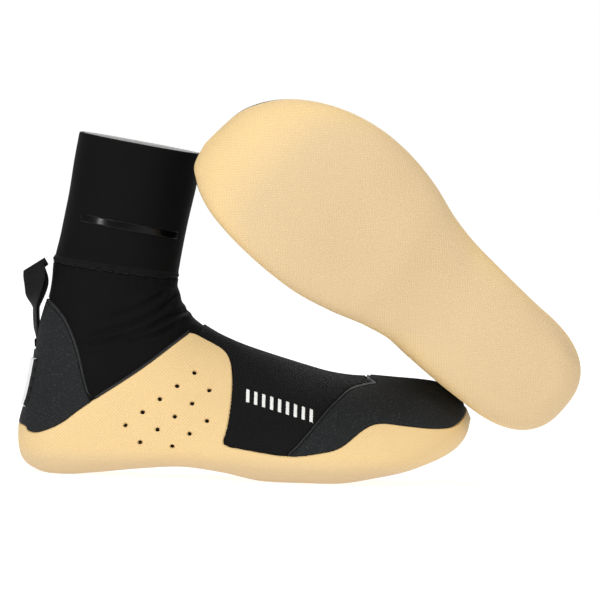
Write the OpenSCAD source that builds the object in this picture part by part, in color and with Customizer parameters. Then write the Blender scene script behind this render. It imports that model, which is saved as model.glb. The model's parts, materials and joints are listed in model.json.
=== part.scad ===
// A pair of neoprene boots: the right one stands, the left one leans on it.
// Each boot is one skin surface; every layer and panel is an offset of it.

/* [Overall size] */
// Outer length, heel to toe tip
boot_length = 290; // [240:1:350]
// Height of the back of the rim over the floor
boot_height = 220; // [180:1:265]
// Greatest width, across the ball of the foot
ball_width = 116; // [96:1:140]

/* [Layers] */
// Thickness of the rubber of the sole, toe cap and heel counter
rubber_t = 1.6; // [1.2:0.1:2]
// Thickness of the mesh skin on the vamp
mesh_t = 0.9; // [0.6:0.1:1.1]
// Thickness of the neoprene
neoprene_t = 3; // [2.4:0.1:3.6]
// Thickness of the lining
lining_t = 0.8; // [0.6:0.1:1]
// Thickness of the footbed
footbed_t = 3; // [2:0.1:3.6]
// Space between two layers
layer_gap = 0.2; // [0.15:0.05:0.3]

/* [Details] */
// Diameter of a vent hole in the sole's side wings
vent_d = 3; // [2:0.1:4]
// Distance between vent holes along a row
vent_pitch = 13.8; // [11:0.1:15]
// Distance between rows of vent holes
vent_row = 14.4; // [12:0.1:16]
// Width of a sealed bead along a panel's edge
seal_w = 1.4; // [1:0.1:2]
// Height of the glossy strip on the cuff
strip_h = 5; // [3:0.1:8]
// Width of the pull loop's webbing
webbing_w = 15.8; // [12:0.1:19]
// Thickness of the webbing
webbing_t = 1.5; // [1.2:0.1:1.8]
// Height of the white label on the heel
label_h = 30; // [20:1:34]
// Width of the white label
label_w = 25; // [20:1:32]

/* [Left boot] */
// Slope of the leaning boot
lean = 38.5; // [34:0.5:40]
// How far the leaning boot's toe end is turned towards -Y
lean_pitch = 16; // [14:0.5:19]
// How far the leaning boot is rolled about its length
lean_roll = 2; // [0:0.5:4]

/* [Hidden] */
SIDE_NODES = ["outsole", "footbed", "foot_shell", "foot_lining", "vamp_mesh", "toe_cap",
    "heel_counter", "ankle_panel", "ankle_lining", "cuff", "cuff_lining", "cuff_seam_stitch",
    "cuff_seam_tape", "grip_strip", "wing_seal", "counter_seal", "toe_cap_seal", "vamp_print",
    "heel_label", "pull_loop", "pull_loop_bartack"];

// The origin is on the floor, under the middle of the right heel's flat tread.
heel_rest_x = 28;
kx = boot_length / 290;
kz = boot_height / 220;
ky = ball_width / 116;
far = 400;

// Depth of each layer under the skin: its outer and its inner face.
rubber = [0, rubber_t];
neoprene = [rubber_t + layer_gap, rubber_t + layer_gap + neoprene_t];
mesh = [rubber_t - mesh_t, rubber_t];
lining = [neoprene[1] + layer_gap, neoprene[1] + layer_gap + lining_t];
footbed = [lining[1] + layer_gap, lining[1] + layer_gap + footbed_t];
seal = [-0.35, rubber_t + layer_gap / 2];
on_cuff = [neoprene[0] - 0.7, neoprene[0] - 0.05];
in_cuff = [lining[1] + 0.1, lining[1] + 0.7];
print = [mesh[0] - 0.4, mesh[0] - 0.05];

// Rings of the skin from the rim to the toe tip. Each row is the ring's front or top
// end, its back or bottom end, and its half widths on the outer and the inner side.
rings = [
    [113.3, 207, 29.8, 219.6, 31, 31],
    [109.4, 187, 26.7, 198.5, 31, 31],
    [105.6, 167, 24, 177.5, 31, 31],
    [102.1, 147, 20.4, 155, 31.5, 31.5],
    [99.4, 127, 16.3, 135.2, 32, 32],
    [100.2, 118.5, 14.2, 115.5, 33.5, 33.5],
    [103.8, 110.6, 8.9, 93.4, 35, 35],
    [108.6, 104.8, 6.6, 70, 36, 36],
    [114, 100.4, 3.4, 50, 37, 37],
    [119.8, 96.8, -1, 28, 38, 38.5],
    [126.3, 93.3, 3.2, 7.5, 38.5, 39.5],
    [133.2, 90.3, 22, -0.8, 38.5, 39.8],
    [141.3, 87.2, 48, 1, 39.5, 40.3],
    [150.3, 84.3, 76, 4.4, 41.2, 40],
    [160.3, 81.3, 104, 6.6, 43.5, 39.2],
    [171.2, 78.1, 130, 4, 48, 43],
    [183.2, 74.7, 156, -0.6, 55, 49.5],
    [196, 71.5, 182, -0.9, 59.3, 54.3],
    [210, 69.7, 207, -0.2, 60, 55.7],
    [225, 69.2, 229, 3.9, 57, 55.2],
    [240, 68.3, 247, 8.2, 51.2, 53.5],
    [254, 67.5, 262, 13.8, 43, 50.5],
    [266, 66, 273, 19.2, 33.5, 46],
    [276, 62, 281, 25.2, 22, 40],
    [283, 54.5, 286.3, 33, 8, 33.5],
    [288.6, 43, 288.6, 43, -19, 19]
];
tip = len(rings) - 1;
seam_u = 4;
seam_gap_u = 0.02;
around = 24;
toe_shift = 19;
shift_from = 11;

// Where on a ring the skin is widest, and how square its upper and lower parts are.
widest = [[0, 0.5], [5, 0.5], [8, 0.45], [11, 0.33], [13, 0.28], [20, 0.28], [22, 0.34], [tip, 0.5]];
upper_p = [[0, 2.1], [8, 2], [11, 1.8], [15, 1.75], [18, 1.9], [21, 2.3], [tip, 2.3]];
lower_p = [[0, 2.1], [8, 2.2], [11, 2.8], [15, 3], [20, 3], [tip, 2.3]];

// Panel edges seen from the side, as x and z.
wing_edge = [[-20, 31.5], [0.8, 30.8], [5.4, 27.1], [12.4, 26.8], [26.3, 33], [41.9, 45.1],
    [76.2, 68.8], [103.5, 90.5], [108.7, 93.1], [117.1, 89.5], [128.2, 83.5], [133, 77],
    [134.8, 66], [134.5, 51.7], [132.6, 35.6], [130.3, 26], [133, 22.9], [142.1, 21.3],
    [172, 18.2], [193.3, 21.2], [206, 25.5], [219.6, 37], [230, 41.3], [247, 40], [263, 38.5],
    [275.9, 39], [282.5, 43.2], [285.2, 48.9], [283, 55.3], [279, 62], [279, 90]];
counter_edge = [[47.5, 44], [43.6, 50], [39.4, 61], [34, 80], [27, 96], [20.5, 104],
    [14, 109], [5, 112], [-20, 112]];
cap_edge = [[173.5, 19.5], [178.4, 24.5], [186.4, 34.4], [195.6, 46.3], [203.6, 54.3],
    [211.1, 60.9], [220.6, 63.9], [227.6, 65.4], [222.5, 69], [222.5, 90]];
hem_edge = [[-30, 60], [28, 60], [44, 47], [50, 44.5], [106, 86], [115, 90], [124, 95.5], [140, 110]];
vamp_top = [[112.5, 90], [116, 98], [119, 112]];

// Vent holes: the first hole of each row, along the row, and how many.
vent_start = [67.9, 33.7];
vent_rows = [[0, 5], [0, 5], [1, 3]];
vent_slope = 39;
row_dir = [0.68, -0.733];

// The glossy strip's middle line, and the heights of the seam's stitching and tape.
strip_line = [[33.7, 164.7], [97.8, 154.8]];
stitch_h = 4.4;
tape_h = 8;
band_past = 20;
band_drop = 1;
// Height of the heel label's middle, and its two faces outside the skin.
label_z = 57.5;
label = [-1.2, -0.1];
// Printed bars: how many, the first one's place, the step to the next, and one bar.
print_bars = 9;
print_start = [144.2, 51.6];
print_step = [5.1, -1.3];
print_bar = [[0, 0], [2.1, -0.5], [2.1, 7.3], [0, 8]];
// Where the sealed beads run, as x and z.
wing_bead = [[48, 40], [106.5, 80], [106.5, 105], [48, 60]];
counter_bead = [[47, 49.3], [70, 49.3], [20, 112.5], [-20, 118], [-20, 108]];
cap_bead = [[171, 20.6], [215, 20.6], [229.6, 62], [229.6, 90], [180, 90]];

function mix(a, b, f) = a + (b - a) * f;
function cubic(a, b, c, d, f) =
    b + f / 2 * (c - a + f * (2 * a - 5 * b + 4 * c - d + f * (3 * (b - c) + d - a)));
function ring_row(k) = rings[min(max(k, 0), tip)];
function ring_at(u) = let (k = min(floor(u), tip - 1))
    cubic(ring_row(k - 1), ring_row(k), ring_row(k + 1), ring_row(k + 2), u - k);
function ridge_y(u) = toe_shift * max(0, (u - shift_from) / (tip - shift_from));

// A point of the skin: u runs from the rim to the toe tip, t turns from the front or
// top over the outer side to the back or bottom.
function skin(u, t) = let (
    r = ring_at(u),
    w = lookup(u, widest),
    up = cos(t) >= 0,
    p = 2 / lookup(u, up ? upper_p : lower_p),
    along = w + (up ? 1 - w : -w) * pow(abs(cos(t)), p),
    out = pow(abs(sin(t)), p),
    c = ridge_y(u),
    y = c + (sin(t) >= 0 ? -(r[4] + c) : r[5] - c) * out)
    [kx * mix(r[2], r[0], along), ky * y, kz * mix(r[3], r[1], along)];
function unit(v) = v / norm(v);
function outward(u, t) = u > tip - 0.01 ? [1, 0, 0] :
    unit(cross(skin(u, t + 4) - skin(u, t - 4),
        skin(min(u + 0.25, tip), t) - skin(max(u - 0.25, 0), t)));
function deep(u, t, d) = skin(u, t) - d * outward(u, t);

function steps(a, b) = [a, for (k = [floor(a) + 1 : ceil(b) - 1]) k, b];
function facet(a, b, c, d) = [[a, d, c], [a, c, b]];

// A layer of the skin from ring a to ring b, closed at the toe when b is the tip.
module layer(depth, a, b) {
    us = steps(a, b);
    closed = b == tip;
    n = around;
    last = len(us) - (closed ? 2 : 1);
    side = (last + 1) * n;
    points = concat(
        [for (d = depth) for (k = [0 : last]) for (j = [0 : n - 1]) deep(us[k], 360 * j / n, d)],
        [for (d = depth) if (closed) deep(tip, 0, d)]);
    faces = [for (j = [0 : n - 1]) let (m = (j + 1) % n, e = last * n) each concat(
        [for (k = [0 : 1 : last - 1])
            each facet(k * n + j, k * n + m, k * n + n + m, k * n + n + j)],
        [for (k = [0 : 1 : last - 1])
            each facet(side + k * n + j, side + k * n + n + j, side + k * n + n + m, side + k * n + m)],
        facet(m, j, side + j, side + m),
        closed ? [[e + j, 2 * side, e + m], [side + e + j, side + e + m, 2 * side + 1]]
            : facet(e + j, e + m, side + e + m, side + e + j))];
    polyhedron(points = points, faces = faces);
}

// A piece of a layer over the given rings and turns.
module patch(depth, us, ts) {
    n = len(ts);
    last = len(us) - 1;
    side = len(us) * n;
    points = [for (d = depth) for (u = us) for (t = ts) deep(u, t, d)];
    faces = concat(
        [for (k = [0 : last - 1]) for (j = [0 : n - 2]) each concat(
            facet(k * n + j, k * n + j + 1, k * n + n + j + 1, k * n + n + j),
            facet(side + k * n + j, side + k * n + n + j, side + k * n + n + j + 1, side + k * n + j + 1))],
        [for (j = [0 : n - 2]) let (e = last * n) each concat(
            facet(j + 1, j, side + j, side + j + 1),
            facet(e + j, e + j + 1, side + e + j + 1, side + e + j))],
        [for (k = [0 : last - 1]) let (a = k * n, z = k * n + n - 1) each concat(
            facet(a, a + n, side + a + n, side + a),
            facet(z + n, z, side + z, side + z + n))]);
    polyhedron(points = points, faces = faces);
}

// The outer half of the boot.
module outer_half() {
    translate([0, -far, 0]) cube(far);
}
// Extrudes its children, drawn as x and z, right through the boot.
module through() {
    rotate([90, 0, 0]) linear_extrude(far, center = true) children();
}
module area(edge, corners) {
    polygon([for (p = concat(edge, corners)) [kx * p[0], kz * p[1]]]);
}
module sole_area() {
    area(wing_edge, [[310, 90], [310, -20], [-20, -20]]);
}
module counter_area() {
    difference() {
        area(counter_edge, [[-20, 10], [47.5, 10]]);
        offset(delta = layer_gap) sole_area();
    }
}
module cap_area() {
    difference() {
        area(cap_edge, [[279, 90], [310, 60], [310, 10], [173.5, 10]]);
        offset(delta = layer_gap) sole_area();
    }
}
module vamp_area() {
    difference() {
        area(vamp_top, [[222.3, 112], [222.3, 69], [232, 64], [190, 12], [125, 12], [125, 80]]);
        offset(delta = layer_gap) sole_area();
        offset(delta = seal_w + 2 * layer_gap) cap_area();
    }
}
module ankle_area(grow) {
    offset(delta = grow) area(hem_edge, [[140, 150], [-30, 150]]);
}
// A band beside the edge of its child, kept where it lies in the given corners.
module beside(corners) {
    intersection() {
        difference() {
            offset(delta = seal_w + layer_gap) children();
            offset(delta = layer_gap) children();
        }
        area(corners, []);
    }
}

module outsole() {
    color("burlywood") difference() {
        intersection() {
            layer(rubber, 8, tip);
            through() sole_area();
            translate([-far, -far, 0]) cube(2 * far);
        }
        for (row = [0 : 2]) for (k = [vent_rows[row][0] : vent_rows[row][0] + vent_rows[row][1] - 1])
            translate([
                kx * (vent_start[0] + row * vent_row * row_dir[0]) + k * vent_pitch * cos(vent_slope),
                0,
                kz * (vent_start[1] + row * vent_row * row_dir[1]) + k * vent_pitch * sin(vent_slope)])
                rotate([90, 0, 0]) cylinder(d = vent_d, h = far, center = true, $fn = 24);
    }
}
module footbed() {
    color("gray") patch(footbed, [for (k = [11 : tip - 2]) k], [for (k = [6 : 18]) 15 * k]);
}
module foot_shell() {
    color("dimgray") difference() {
        layer(neoprene, 6, tip);
        through() ankle_area(layer_gap);
    }
}
module foot_lining() {
    color("lightgray") difference() {
        layer(lining, 6, tip);
        through() ankle_area(layer_gap);
    }
}
module vamp_mesh() {
    color([0.08, 0.08, 0.09]) intersection() {
        layer(mesh, 7, 21);
        through() vamp_area();
    }
}
module toe_cap() {
    color([0.17, 0.18, 0.19]) intersection() {
        layer(rubber, 14, tip);
        through() cap_area();
    }
}
module heel_counter() {
    color([0.17, 0.18, 0.19]) difference() {
        intersection() {
            layer(rubber, 5, 12);
            through() counter_area();
        }
        loop_pocket();
    }
}
module ankle_panel() {
    color([0.06, 0.06, 0.06]) difference() {
        intersection() {
            layer(neoprene, seam_u + seam_gap_u, 12);
            through() ankle_area(0);
        }
        loop_pocket();
    }
}
module ankle_lining() {
    color("gainsboro") intersection() {
        layer(lining, seam_u + seam_gap_u, 12);
        through() ankle_area(0);
    }
}
module cuff() {
    color([0.06, 0.06, 0.06]) layer(neoprene, 0, seam_u);
}
module cuff_lining() {
    color("gainsboro") layer(lining, 0, seam_u);
}
// A band of the given height over the seam between the cuff and the ankle.
module over_seam(h) {
    r = rings[seam_u];
    past = band_past * unit([kx * (r[0] - r[2]), kz * (r[1] - r[3])]);
    back = [kx * r[2], kz * r[3]] - past;
    front = [kx * r[0], kz * r[1]] + past;
    drop = [0, band_drop];
    through() polygon([back - drop, front - drop, front + [0, h], back + [0, h]]);
}
module cuff_seam_stitch() {
    color([0.1, 0.1, 0.1]) intersection() {
        layer(on_cuff, seam_u - 1, seam_u);
        over_seam(stitch_h);
    }
}
module cuff_seam_tape() {
    color([0.2, 0.2, 0.2]) intersection() {
        layer(in_cuff, seam_u - 1, seam_u);
        over_seam(tape_h);
    }
}
module grip_strip() {
    color([0.02, 0.02, 0.02]) intersection() {
        layer(on_cuff, 2, 3);
        outer_half();
        through() polygon([for (s = [[0, -1], [1, -1], [1, 1], [0, 1]])
            [kx * strip_line[s[0]][0], kz * strip_line[s[0]][1] + s[1] * strip_h / 2]]);
    }
}
module wing_seal() {
    color([0.25, 0.25, 0.26]) intersection() {
        layer(seal, 6, 14);
        through() beside(wing_bead) sole_area();
    }
}
module counter_seal() {
    color([0.25, 0.25, 0.26]) difference() {
        intersection() {
            layer(seal, 4.6, 12);
            through() beside(counter_bead) counter_area();
        }
        loop_pocket();
    }
}
module toe_cap_seal() {
    color([0.25, 0.25, 0.26]) intersection() {
        layer(seal, 14, 21);
        through() difference() {
            beside(cap_bead) cap_area();
            offset(delta = layer_gap) sole_area();
        }
    }
}
module vamp_print() {
    color("white") intersection() {
        layer(print, 11, 18);
        outer_half();
        through() for (k = [0 : print_bars - 1])
            area([for (p = print_bar) print_start + k * print_step + p], []);
    }
}
module heel_label() {
    color("white") intersection() {
        layer(label, 5, 10);
        translate([-far / 2, -label_w / 2, kz * label_z - label_h / 2]) cube([far, label_w, label_h]);
    }
}

// The pull loop: webbing that rises, turns a quarter, folds over and comes back down.
loop_line = [[10.4, 79], [9.8, 86], [8.6, 94], [7.9, 103], [8.1, 112], [7.6, 120], [5.6, 127.5],
    [5.4, 131.6]];
fold_slope = 34;
// Half of the space between the strands at the fold, and between the sewn ends' near faces.
loop_open = 4.6;
sewn_gap = 0.1;
// Where along its line the webbing starts to turn and to part, and over how much.
turn_from = 2.5;
turn_over = 3.5;
part_from = 2;
part_over = 3.4;
bartack_t = 0.8;
bartack_h = 5;
bartack_in = 1;
function loop_point(h) = let (k = min(floor(h), len(loop_line) - 2))
    mix(loop_line[k], loop_line[k + 1], h - k);
function share(h, from, over) = min(max((h - from) / over, 0), 1);
function loop_twist(h) = 90 * pow(sin(90 * share(h, turn_from, turn_over)), 2);
// Half of the space between the two strands' middles.
function loop_spread(h) = mix(webbing_t / 2 + sewn_gap, loop_open, share(h, part_from, part_over));
// The slot in the counter and the neoprene that the webbing's sewn end stands in.
module loop_pocket() {
    intersection() {
        translate([-far / 2, -webbing_w / 2 - layer_gap, 0]) cube([far, webbing_w + 2 * layer_gap, far]);
        through() polygon([[-20, kz * loop_line[0][1] - layer_gap],
            for (h = [0 : 0.5 : 4]) let (p = loop_point(h))
                [kx * p[0] + loop_spread(h) + webbing_t / 2 + webbing_w / 2 * webbing_frame(h)[0][0]
                    + 2 * layer_gap, kz * p[1] - (h == 0 ? layer_gap : 0)],
            [-20, kz * loop_line[4][1]]]);
    }
}
function webbing_frame(h) = let (a = loop_twist(h),
    wide = [cos(fold_slope) * sin(a), -cos(a), sin(fold_slope) * sin(a)],
    flat = [-cos(a), -sin(a), 0]) [wide, flat];
function webbing_section(centre, wide, thick) =
    [for (s = [[1, 1], [-1, 1], [-1, -1], [1, -1]])
        centre + s[0] * webbing_w / 2 * wide + s[1] * webbing_t / 2 * thick];
module pull_loop() {
    top = len(loop_line) - 1;
    hs = [for (k = [0 : 0.5 : top]) k];
    turns = 6;
    function at(h, s) = let (p = loop_point(h), f = webbing_frame(h))
        webbing_section([kx * p[0], 0, kz * p[1]] + s * loop_spread(h) * f[1], f[0], f[1]);
    function fold(q) = let (p = loop_point(top), f = webbing_frame(top),
        up = cross(f[0], f[1]), b = cos(q) * f[1] + sin(q) * up)
        webbing_section([kx * p[0], 0, kz * p[1]] + loop_open * b, f[0], b);
    sections = concat(
        [for (h = hs) at(h, 1)],
        [for (k = [1 : turns - 1]) fold(180 * k / turns)],
        [for (k = [len(hs) - 1 : -1 : 0]) let (s = at(hs[k], -1)) [s[3], s[2], s[1], s[0]]]);
    n = len(sections);
    color([0.09, 0.09, 0.09]) polyhedron(
        points = [for (s = sections) each s],
        faces = concat(facet(0, 1, 2, 3), facet(4 * n - 4, 4 * n - 1, 4 * n - 2, 4 * n - 3),
            [for (k = [0 : n - 2]) for (j = [0 : 3]) let (m = (j + 1) % 4)
                each facet(4 * k + m, 4 * k + j, 4 * k + 4 + j, 4 * k + 4 + m)]));
}
module pull_loop_bartack() {
    low = loop_line[0];
    high = loop_line[1];
    color([0.05, 0.05, 0.05]) translate([kx * low[0] - webbing_t - 2 * sewn_gap, 0, kz * low[1] + bartack_in])
        rotate([0, atan2(kx * (high[0] - low[0]), kz * (high[1] - low[1])), 0])
            translate([-bartack_t, bartack_in - webbing_w / 2, 0])
                cube([bartack_t, webbing_w - 2 * bartack_in, bartack_h]);
}

// Draws one boot's node by its name.
module piece(name) {
    if (name == "outsole") outsole();
    if (name == "footbed") footbed();
    if (name == "foot_shell") foot_shell();
    if (name == "foot_lining") foot_lining();
    if (name == "vamp_mesh") vamp_mesh();
    if (name == "toe_cap") toe_cap();
    if (name == "heel_counter") heel_counter();
    if (name == "ankle_panel") ankle_panel();
    if (name == "ankle_lining") ankle_lining();
    if (name == "cuff") cuff();
    if (name == "cuff_lining") cuff_lining();
    if (name == "cuff_seam_stitch") cuff_seam_stitch();
    if (name == "cuff_seam_tape") cuff_seam_tape();
    if (name == "grip_strip") grip_strip();
    if (name == "wing_seal") wing_seal();
    if (name == "counter_seal") counter_seal();
    if (name == "toe_cap_seal") toe_cap_seal();
    if (name == "vamp_print") vamp_print();
    if (name == "heel_label") heel_label();
    if (name == "pull_loop") pull_loop();
    if (name == "pull_loop_bartack") pull_loop_bartack();
}

// The left boot is the mirrored boot. Its sole faces -Y and its toe end is the high end.
// Its heel, and how far that moves off as the boots grow longer, wider and taller.
heel_at = [323.5, -38, 52.5];
with_length = [246, 0, 0];
with_width = [10, 0, 44];
with_height = [0, 0, 75];
left_heel = heel_at + (kx - 1) * with_length + (ky - 1) * with_width + (kz - 1) * with_height;
module right_place() {
    translate([-heel_rest_x * kx, 0, 0]) children();
}
module left_place() {
    translate(left_heel) rotate([0, 180 + lean, 0]) rotate([-90, 0, 0])
        rotate([lean_roll, lean_pitch, 0]) mirror([0, 1, 0]) children();
}

for (name = SIDE_NODES) {
    right_place() piece(name);
    left_place() piece(name);
}
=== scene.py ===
"""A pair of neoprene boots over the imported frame: rubber skins, jersey, mesh, trims and webbing."""

import json
import math

import bmesh
import bpy
import numpy as np
from bpy.props import FloatProperty, FloatVectorProperty, PointerProperty
from mathutils import Matrix, Vector


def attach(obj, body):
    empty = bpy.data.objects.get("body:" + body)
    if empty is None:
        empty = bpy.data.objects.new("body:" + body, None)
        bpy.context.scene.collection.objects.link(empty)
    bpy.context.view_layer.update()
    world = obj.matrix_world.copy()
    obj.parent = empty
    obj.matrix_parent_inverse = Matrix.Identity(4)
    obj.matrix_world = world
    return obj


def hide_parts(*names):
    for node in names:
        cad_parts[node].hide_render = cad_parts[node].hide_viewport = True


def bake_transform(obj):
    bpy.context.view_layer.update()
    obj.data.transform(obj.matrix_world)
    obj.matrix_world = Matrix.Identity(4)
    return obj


bl_info = {
    "name": "Neoprene boots",
    "version": (1, 0, 0),
    "blender": (4, 5, 0),
    "location": "3D View > Sidebar > Boots",
    "description": "Builds a pair of neoprene water boots over its frame",
    "category": "Object",
}

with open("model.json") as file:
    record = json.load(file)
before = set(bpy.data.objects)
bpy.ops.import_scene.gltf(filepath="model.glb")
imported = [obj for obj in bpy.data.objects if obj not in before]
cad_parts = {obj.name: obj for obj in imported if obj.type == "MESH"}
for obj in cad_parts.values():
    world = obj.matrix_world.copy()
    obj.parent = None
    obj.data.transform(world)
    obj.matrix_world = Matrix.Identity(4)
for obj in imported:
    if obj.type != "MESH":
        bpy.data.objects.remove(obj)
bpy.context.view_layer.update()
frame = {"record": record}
SIDES = ("right", "left")

# ---------------------------------------------------------------- the skin
# One boot lies with its toe along +X, its outer side to -Y and its shaft up, in millimetres.
# Rings from rim to toe tip: front or top x and z, back or bottom x and z, half widths
# to the outer and to the inner side.
RINGS = np.array([
    [113.3, 207, 29.8, 219.6, 31, 31], [109.4, 187, 26.7, 198.5, 31, 31],
    [105.6, 167, 24, 177.5, 31, 31], [102.1, 147, 20.4, 155, 31.5, 31.5],
    [99.4, 127, 16.3, 135.2, 32, 32], [100.2, 118.5, 14.2, 115.5, 33.5, 33.5],
    [103.8, 110.6, 8.9, 93.4, 35, 35], [108.6, 104.8, 6.6, 70, 36, 36],
    [114, 100.4, 3.4, 50, 37, 37], [119.8, 96.8, -1, 28, 38, 38.5],
    [126.3, 93.3, 3.2, 7.5, 38.5, 39.5], [133.2, 90.3, 22, -0.8, 38.5, 39.8],
    [141.3, 87.2, 48, 1, 39.5, 40.3], [150.3, 84.3, 76, 4.4, 41.2, 40],
    [160.3, 81.3, 104, 6.6, 43.5, 39.2], [171.2, 78.1, 130, 4, 48, 43],
    [183.2, 74.7, 156, -0.6, 55, 49.5], [196, 71.5, 182, -0.9, 59.3, 54.3],
    [210, 69.7, 207, -0.2, 60, 55.7], [225, 69.2, 229, 3.9, 57, 55.2],
    [240, 68.3, 247, 8.2, 51.2, 53.5], [254, 67.5, 262, 13.8, 43, 50.5],
    [266, 66, 273, 19.2, 33.5, 46], [276, 62, 281, 25.2, 22, 40],
    [283, 54.5, 286.3, 33, 8, 33.5], [288.6, 43, 288.6, 43, -19, 19],
])
TIP = len(RINGS) - 1
SEAM = 4.0  # the ring where the cuff meets the ankle panel
TOE_SHIFT, SHIFT_FROM = 19, 11
WIDEST = ([0, 5, 8, 11, 13, 20, 22, 25], [0.5, 0.5, 0.45, 0.33, 0.28, 0.28, 0.34, 0.5])
UPPER_P = ([0, 8, 11, 15, 18, 21, 25], [2.1, 2, 1.8, 1.75, 1.9, 2.3, 2.3])
LOWER_P = ([0, 8, 11, 15, 20, 25], [2.1, 2.2, 2.8, 3, 3, 2.3])

# Panel edges seen from the side, as x and z.
WING_EDGE = [(-20, 31.5), (0.8, 30.8), (5.4, 27.1), (12.4, 26.8), (26.3, 33), (41.9, 45.1),
    (76.2, 68.8), (103.5, 90.5), (108.7, 93.1), (117.1, 89.5), (128.2, 83.5), (133, 77),
    (134.8, 66), (134.5, 51.7), (132.6, 35.6), (130.3, 26), (133, 22.9), (142.1, 21.3),
    (172, 18.2), (193.3, 21.2), (206, 25.5), (219.6, 37), (230, 41.3), (247, 40), (263, 38.5),
    (275.9, 39), (282.5, 43.2), (285.2, 48.9), (283, 55.3), (279, 62), (279, 90)]
COUNTER_EDGE = [(47.5, 44), (43.6, 50), (39.4, 61), (34, 80), (27, 96), (20.5, 104),
    (14, 109), (5, 112), (-20, 112)]
CAP_EDGE = [(173.5, 19.5), (178.4, 24.5), (186.4, 34.4), (195.6, 46.3), (203.6, 54.3),
    (211.1, 60.9), (220.6, 63.9), (227.6, 65.4), (222.5, 69), (222.5, 90)]
HEM_EDGE = [(-30, 60), (28, 60), (44, 47), (50, 44.5), (106, 86), (115, 90), (124, 95.5),
    (140, 110)]
VAMP_TOP = [(112.5, 90), (116, 98), (119, 112)]
CREASES = [
    [(44, 90.1), (65.6, 96.6), (80, 103), (89.5, 108.4), (97, 116.3)],
    [(43.6, 84.9), (62.6, 89.5), (80.4, 95.2), (89.8, 101.3), (104.3, 107)],
    [(70, 88), (86, 92.6), (98, 98)],
    [(58, 104), (76, 110.5), (90, 118)],
]
STRIP_LINE = [(33.7, 164.7), (97.8, 154.8)]
VENT_START, VENT_ALONG, VENT_SLOPE = (67.9, 33.7), (0.68, -0.733), 39
VENT_ROWS = ((0, 5), (0, 5), (1, 3))
LOOP_LINE = [(10.4, 79), (9.8, 86), (8.6, 94), (7.9, 103), (8.1, 112), (7.6, 120),
    (5.6, 128), (5.4, 132.6)]
FOLD_SLOPE, LOOP_OPEN = 34, 4.6
PRINT_BARS, PRINT_START, PRINT_STEP = 9, (144.2, 51.6), (5.1, -1.3)
PRINT_BAR = [(0, 0), (2.1, -0.5), (2.1, 7.3), (0, 8)]
LABEL_Z = 57.5
FLOOR_REACH = 60.0  # in metres
MM = 0.001  # a millimetre, in metres
WELD = 0.004  # points nearer than this are merged
FAR_OUTSIDE = -20.0  # a distance that cuts a cell away
HEEL_MOUNT = 0.028  # the heel mount's x in the boot's own place, in metres
HEEL_TO_BALL = (142.0, 8.0)
STITCH_PITCH = 1.9
SKY_AS_LIGHT, SKY_TO_CAMERA = 0.45, 1.0
SENSOR = 36


def curve(a, b, c, d, f):
    """The point at the share f from b to c, on a smooth curve through all four."""
    return b + f / 2 * (c - a + f * (2 * a - 5 * b + 4 * c - d + f * (3 * (b - c) + d - a)))


def ring_at(u):
    """The six ring numbers at each u, on a smooth curve through the rings."""
    k = np.clip(np.floor(u).astype(int), 0, TIP - 1)
    f = (u - k)[:, None]
    return curve(*(RINGS[np.clip(k + i, 0, TIP)] for i in (-1, 0, 1, 2)), f)


def skin(u, t):
    """Points of the boot's skin: t turns from the front over the outer side to the back."""
    u, t = np.broadcast_arrays(np.asarray(u, float), np.asarray(t, float))
    r = ring_at(u)
    angle = np.radians(t)
    up = np.cos(angle) >= 0
    widest = np.interp(u, *WIDEST)
    power = 2 / np.where(up, np.interp(u, *UPPER_P), np.interp(u, *LOWER_P))
    along = widest + np.where(up, 1 - widest, -widest) * np.abs(np.cos(angle)) ** power
    out = np.abs(np.sin(angle)) ** power
    ridge = TOE_SHIFT * np.maximum(0, (u - SHIFT_FROM) / (TIP - SHIFT_FROM))
    y = ridge + np.where(np.sin(angle) >= 0, -(r[:, 4] + ridge), r[:, 5] - ridge) * out
    return np.stack([r[:, 2] + (r[:, 0] - r[:, 2]) * along, y, r[:, 3] + (r[:, 1] - r[:, 3]) * along], 1)


def outward(u, t):
    """The direction out of the skin at each point."""
    u = np.minimum(np.asarray(u, float), TIP - 0.08)
    across = skin(u, t + 3.0) - skin(u, t - 3.0)
    along = skin(np.minimum(u + 0.15, TIP), t) - skin(np.maximum(u - 0.15, 0), t)
    n = np.cross(across, along)
    return n / np.maximum(np.linalg.norm(n, axis=1), 1e-9)[:, None]


def deep(u, t, depth):
    """Points at a depth under the skin."""
    return skin(u, t) - np.asarray(depth, float).reshape(-1, 1) * outward(u, t)


def even_turns():
    """For steps of u, the turn at even distances round the ring, so that a grid has even cells."""
    us = np.linspace(0, TIP - 0.05, 126)
    ts = np.linspace(0, 360, 721)
    rows = []
    for u in us:
        p = skin(np.full(ts.shape, u), ts)
        step = np.linalg.norm(np.diff(p, axis=0), axis=1)
        way = np.concatenate([[0], np.cumsum(step)])
        rows.append(np.interp(np.linspace(0, 1, 181), way / way[-1], ts))
    return us, np.array(rows)


EVEN_U, EVEN_T = even_turns()


def turn_at(u, v):
    """The turn, in degrees, at the share v of the way round the ring at u."""
    a = np.clip(np.interp(u, EVEN_U, np.arange(len(EVEN_U))), 0, len(EVEN_U) - 1.001)
    b = np.clip(v, 0, 1) * (EVEN_T.shape[1] - 1.001)
    i, j = a.astype(int), b.astype(int)
    f, g = a - i, b - j
    t = EVEN_T
    near = (1 - g) * t[i, j] + g * t[i, j + 1]
    far = (1 - g) * t[i + 1, j] + g * t[i + 1, j + 1]
    return (1 - f) * near + f * far


# ---------------------------------------------------------------- outlines
def smooth_line(points, parts=5):
    """A smooth line through the given points."""
    p = np.array(points, float)
    ends = len(p) - 1
    out = []
    for k in range(ends):
        a, b, c, d = (p[min(max(k + i, 0), ends)] for i in (-1, 0, 1, 2))
        for f in np.arange(parts) / parts:
            out.append(curve(a, b, c, d, f))
    return out + [p[-1]]


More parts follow.
